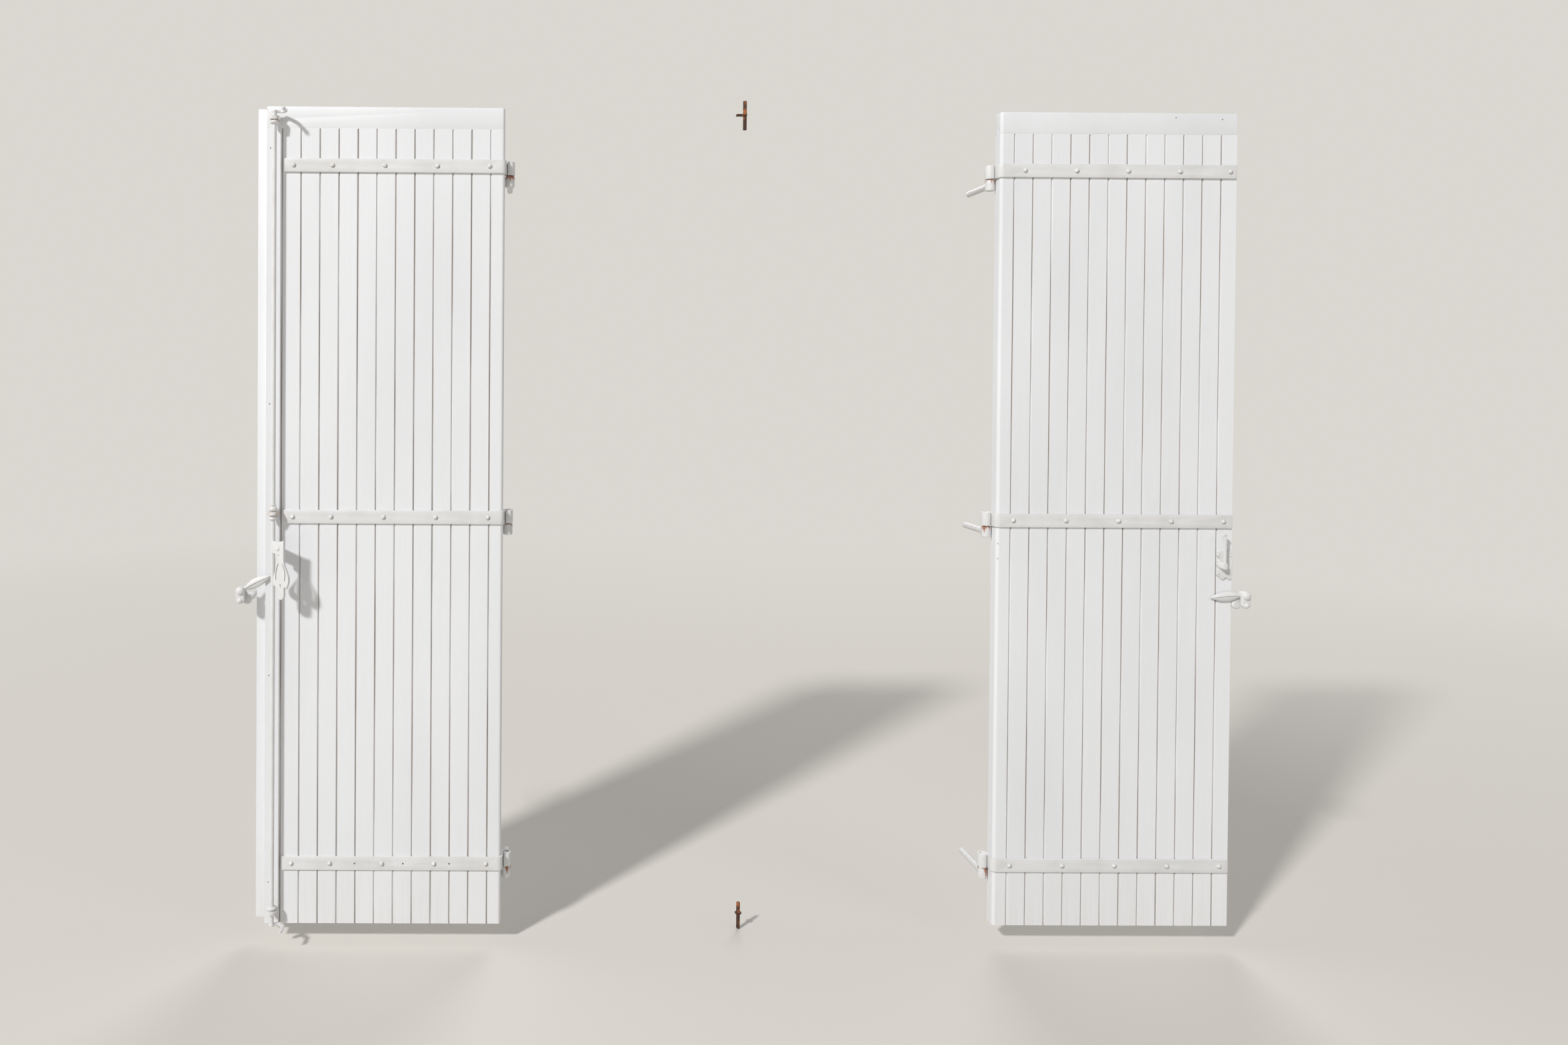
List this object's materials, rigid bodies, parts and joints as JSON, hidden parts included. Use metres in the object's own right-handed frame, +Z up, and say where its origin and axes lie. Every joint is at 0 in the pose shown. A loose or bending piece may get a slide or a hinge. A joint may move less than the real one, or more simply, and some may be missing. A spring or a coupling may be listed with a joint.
{
  "type": "window shutters",
  "caption": "Pair of painted board shutters laid open, with strap hinges on wall pintles, a hooked bolt rod with openwork handle, its keeper, and turning wall dogs.",
  "frame": {"origin": "centre of the door opening, on the wall's outer face, level with the leaves' bottom edge", "axes": "+X to the right seen from outside, +Y into the wall, +Z up"},
  "size_m": [2.6822, 0.2386, 2.264],
  "materials": {
    "painted_wood": "satin white paint",
    "painted_iron": "thick satin white paint, brushed on",
    "painted_pintle": "worn white paint with rust at the joints",
    "rusty_iron": "dark rusty iron"
  },
  "bodies": {
    "wall_iron": {"left_bottom_pintle": "painted_pintle", "left_middle_pintle": "painted_pintle", "left_top_pintle": "painted_pintle", "right_bottom_pintle": "painted_pintle", "right_middle_pintle": "painted_pintle", "right_top_pintle": "painted_pintle", "left_washer": "painted_pintle", "right_washer": "painted_pintle", "left_dog_bracket": "painted_iron", "left_dog_head": "painted_iron", "right_dog_bracket": "painted_iron", "right_dog_head": "painted_iron", "lintel_keep": "rusty_iron", "sill_keep": "rusty_iron"},
    "left_leaf": {"left_board_1": "painted_wood", "left_board_2": "painted_wood", "left_board_3": "painted_wood", "left_board_4": "painted_wood", "left_board_5": "painted_wood", "left_board_6": "painted_wood", "left_board_7": "painted_wood", "left_top_rail": "painted_wood", "left_bottom_strap": "painted_iron", "left_middle_strap": "painted_iron", "left_top_strap": "painted_iron", "left_rivets": "painted_iron", "left_cover_batten": "painted_wood", "left_batten_nails": "painted_iron", "bottom_rod_guide": "painted_iron", "middle_rod_guide": "painted_iron", "top_rod_guide": "painted_iron"},
    "right_leaf": {"right_board_1": "painted_wood", "right_board_2": "painted_wood", "right_board_3": "painted_wood", "right_board_4": "painted_wood", "right_board_5": "painted_wood", "right_board_6": "painted_wood", "right_board_7": "painted_wood", "right_top_rail": "painted_wood", "right_bottom_strap": "painted_iron", "right_middle_strap": "painted_iron", "right_top_strap": "painted_iron", "right_rivets": "painted_iron", "keeper": "painted_iron", "keeper_screws": "painted_iron"},
    "rod": {"bolt_rod": "painted_iron", "top_hook": "painted_iron", "bottom_hook": "painted_iron", "handle_rivet": "painted_iron"},
    "handle": {"handle": "painted_iron"},
    "left_dog": {"left_dog_blade": "painted_iron"},
    "right_dog": {"right_dog_blade": "painted_iron"}
  },
  "joints": [
    {"name": "left_leaf_swing", "type": "hinge", "parent": "wall_iron", "child": "left_leaf", "pos_m": [-0.6428, -0.02, 1.0825], "axis": [0, 0, 1], "range_deg": [0, 180]},
    {"name": "right_leaf_swing", "type": "hinge", "parent": "wall_iron", "child": "right_leaf", "pos_m": [0.6428, -0.02, 1.0825], "axis": [0, 0, -1], "range_deg": [0, 180]},
    {"name": "rod_turn", "type": "hinge", "parent": "left_leaf", "child": "rod", "pos_m": [-1.2591, -0.073, 1.093], "axis": [0, 0, -1], "range_deg": [0, 126]},
    {"name": "handle_lift", "type": "hinge", "parent": "rod", "child": "handle", "pos_m": [-1.23278, -0.09356, 1.005], "axis": [-0.6157, -0.788, 0], "range_deg": [0, 100]},
    {"name": "left_dog_turn", "type": "hinge", "parent": "wall_iron", "child": "left_dog", "pos_m": [-1.3461, -0.058, 0.887], "axis": [0, 1, 0], "range_deg": [0, 116]},
    {"name": "right_dog_turn", "type": "hinge", "parent": "wall_iron", "child": "right_dog", "pos_m": [1.3131, -0.058, 0.887], "axis": [0, -1, 0], "range_deg": [0, 85]}
  ]
}
